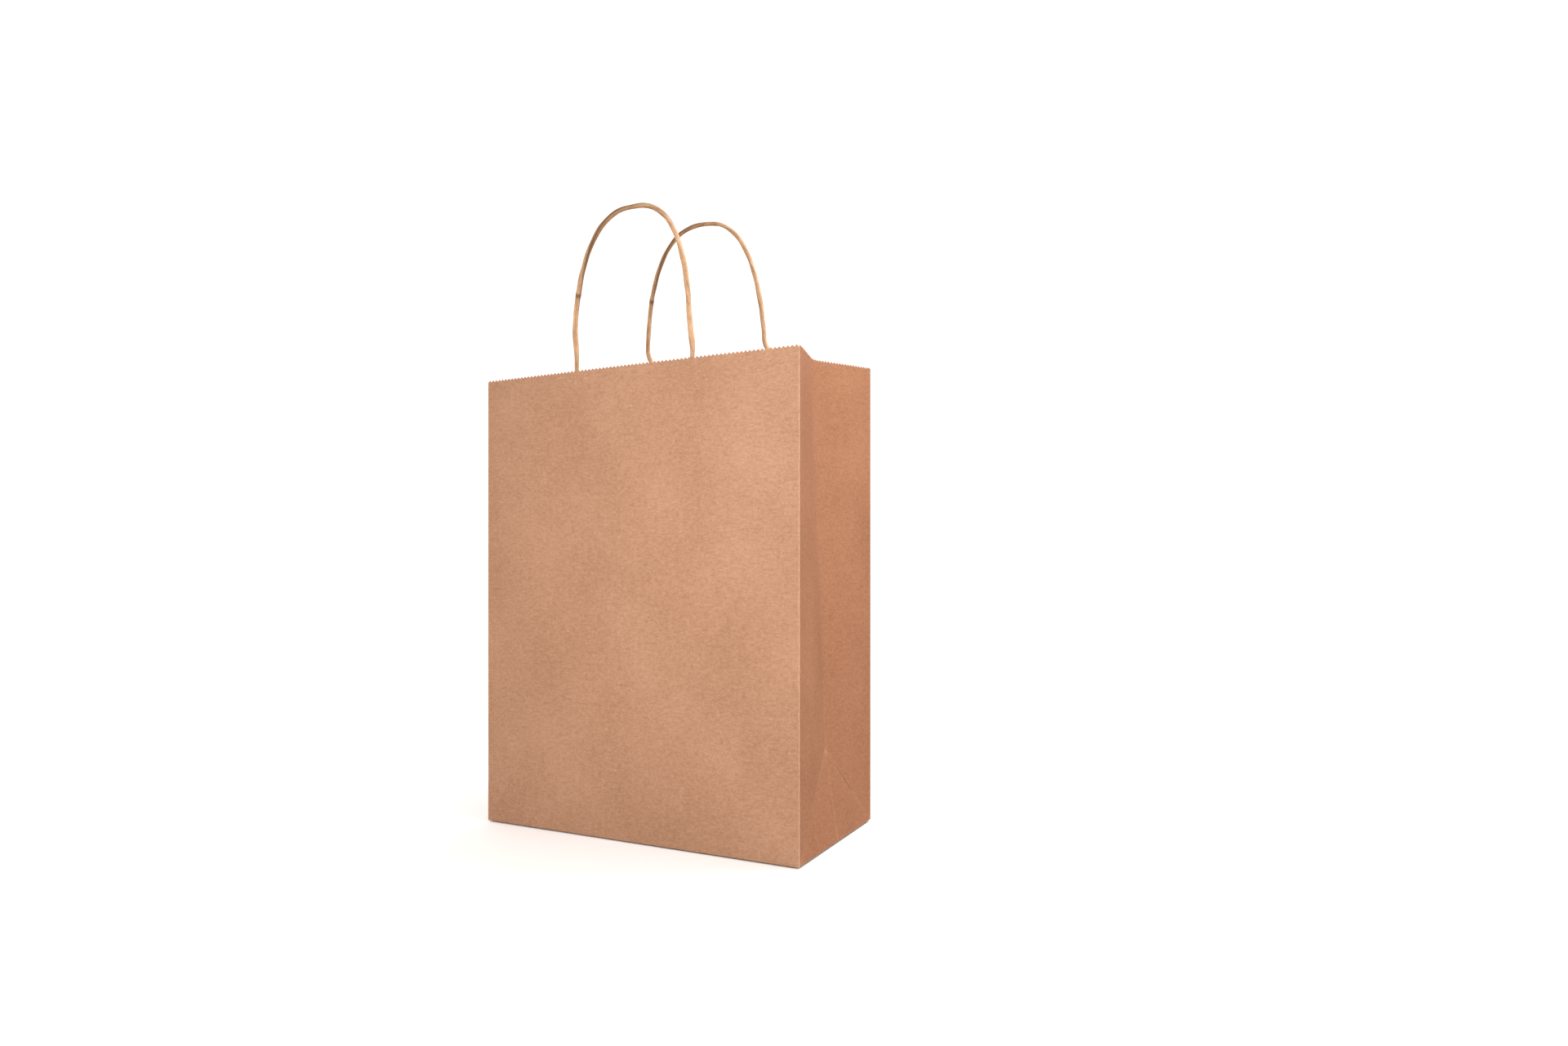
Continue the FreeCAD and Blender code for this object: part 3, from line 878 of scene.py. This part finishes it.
# ------------------------------------------------------------------ studio
def floor():
    """Plain pale floor just under the bag."""
    mesh = bpy.data.meshes.new("floor")
    corners = [
        (FLOOR_REACH * x, FLOOR_REACH * y, -FLOOR_DROP)
        for x, y in ((-1, -1), (1, -1), (1, 1), (-1, 1))]
    mesh.from_pydata(corners, [], [(0, 1, 2, 3)])
    plane = bpy.data.objects.new("floor", mesh)
    bpy.context.scene.collection.objects.link(plane)
    n = Nodes("floor")
    place = n.add("NewGeometry").outputs["Position"]
    shade = n.noise(place, (3, 3, 3), 2.0)
    colour = n.ramp(shade, [(0.0, (0.94, 0.94, 0.94)), (1.0, (0.96, 0.96, 0.96))])
    mesh.materials.append(n.finish(colour, n.span(shade, 0, 1, 0.8, 0.9), shade, 0.02, 0.1 * MM))


def area_light(name, place, target, size, power, colour, spread):
    """A square light of this size at a place, aimed at a target, with its spread in degrees."""
    lamp = bpy.data.lights.new(name, "AREA")
    lamp.shape = "SQUARE"
    lamp.size = size
    lamp.energy = power
    lamp.color = colour
    lamp.spread = math.radians(spread)
    holder = bpy.data.objects.new(name, lamp)
    bpy.context.scene.collection.objects.link(holder)
    holder.location = place
    aim = np.array(target) - np.array(place)
    holder.rotation_euler = Vector(aim).to_track_quat("-Z", "Y").to_euler()


def studio():
    """Even, slightly warm surroundings, and two narrow cool lights: in front and from above."""
    world = bpy.data.worlds.new("studio")
    bpy.context.scene.world = world
    world.use_nodes = True
    background = world.node_tree.nodes["Background"]
    background.inputs["Color"].default_value = WORLD_COLOUR
    background.inputs["Strength"].default_value = WORLD_STRENGTH
    area_light("key", (0.46, -0.95, 0.74), (0.085, 0, 0.225), 0.35, 0.60, (0.94, 1.0, 1.04), 33)
    area_light("rim", (0.50, 0.30, 1.15), (0.03, 0, 0.36), 0.30, 1.0, (0.94, 1.0, 1.06), 34)
    bpy.context.scene.view_settings.view_transform = "Standard"


def camera():
    """Level view from the front right, a little above the middle of the bag."""
    data = bpy.data.cameras.new("camera")
    data.sensor_width = 36.0
    data.lens = CAMERA_LENS
    data.shift_y = CAMERA_SHIFT
    data.clip_start = 0.01
    holder = bpy.data.objects.new("camera", data)
    bpy.context.scene.collection.objects.link(holder)
    holder.location = CAMERA_PLACE
    holder.rotation_euler = (math.pi / 2, 0, CAMERA_TURN)
    bpy.context.scene.camera = holder


# ------------------------------------------------------------------ the bag
body_sheets = [
    panel_sheet("front_panel_sheet", -1, 0, "front_panel", "front_panel"),
    panel_sheet("back_panel_sheet", 1, LEVEL_Z, "back_panel", "back_panel"),
    fold_strip(),
    *long_beads(),
    *base_flaps(),
    seam_tab("seam_tab_upper", "back_panel"),
    seam_tab("seam_tab_lower", "back_fold_strip"),
]
for hand in (1, -1):
    body_sheets += [gusset_half(hand, -1), gusset_half(hand, 1)]
    body_sheets += [foot_triangle(hand), foot_corner(hand), foot_bead(hand)]
    body_sheets += corner_beads(hand)
side_sheets = [piece for piece in body_sheets if any(
    part in piece.name for part in ("gusset", "foot_corner", "foot_triangle"))]
wide_sheets = [piece for piece in body_sheets if piece not in side_sheets]
paint(wide_sheets, kraft_paper("kraft_paper", (1.0, 1.0, 1.0)))
# The side sheets get the painted-shade copy of the kraft paper.
paint(side_sheets, kraft_paper("kraft_paper_side", SIDE_PAINTED_SHADE))

patches = [piece for place in HANDLES for piece in handle_patch(place, HANDLES[place]["side"])]
paint(patches, kraft_paper("kraft_patch", PATCH_TINT))

cords = [handle_cord(place, **facts) for place, facts in HANDLES.items()]
paint(cords, kraft_cord())

floor()
studio()
camera()
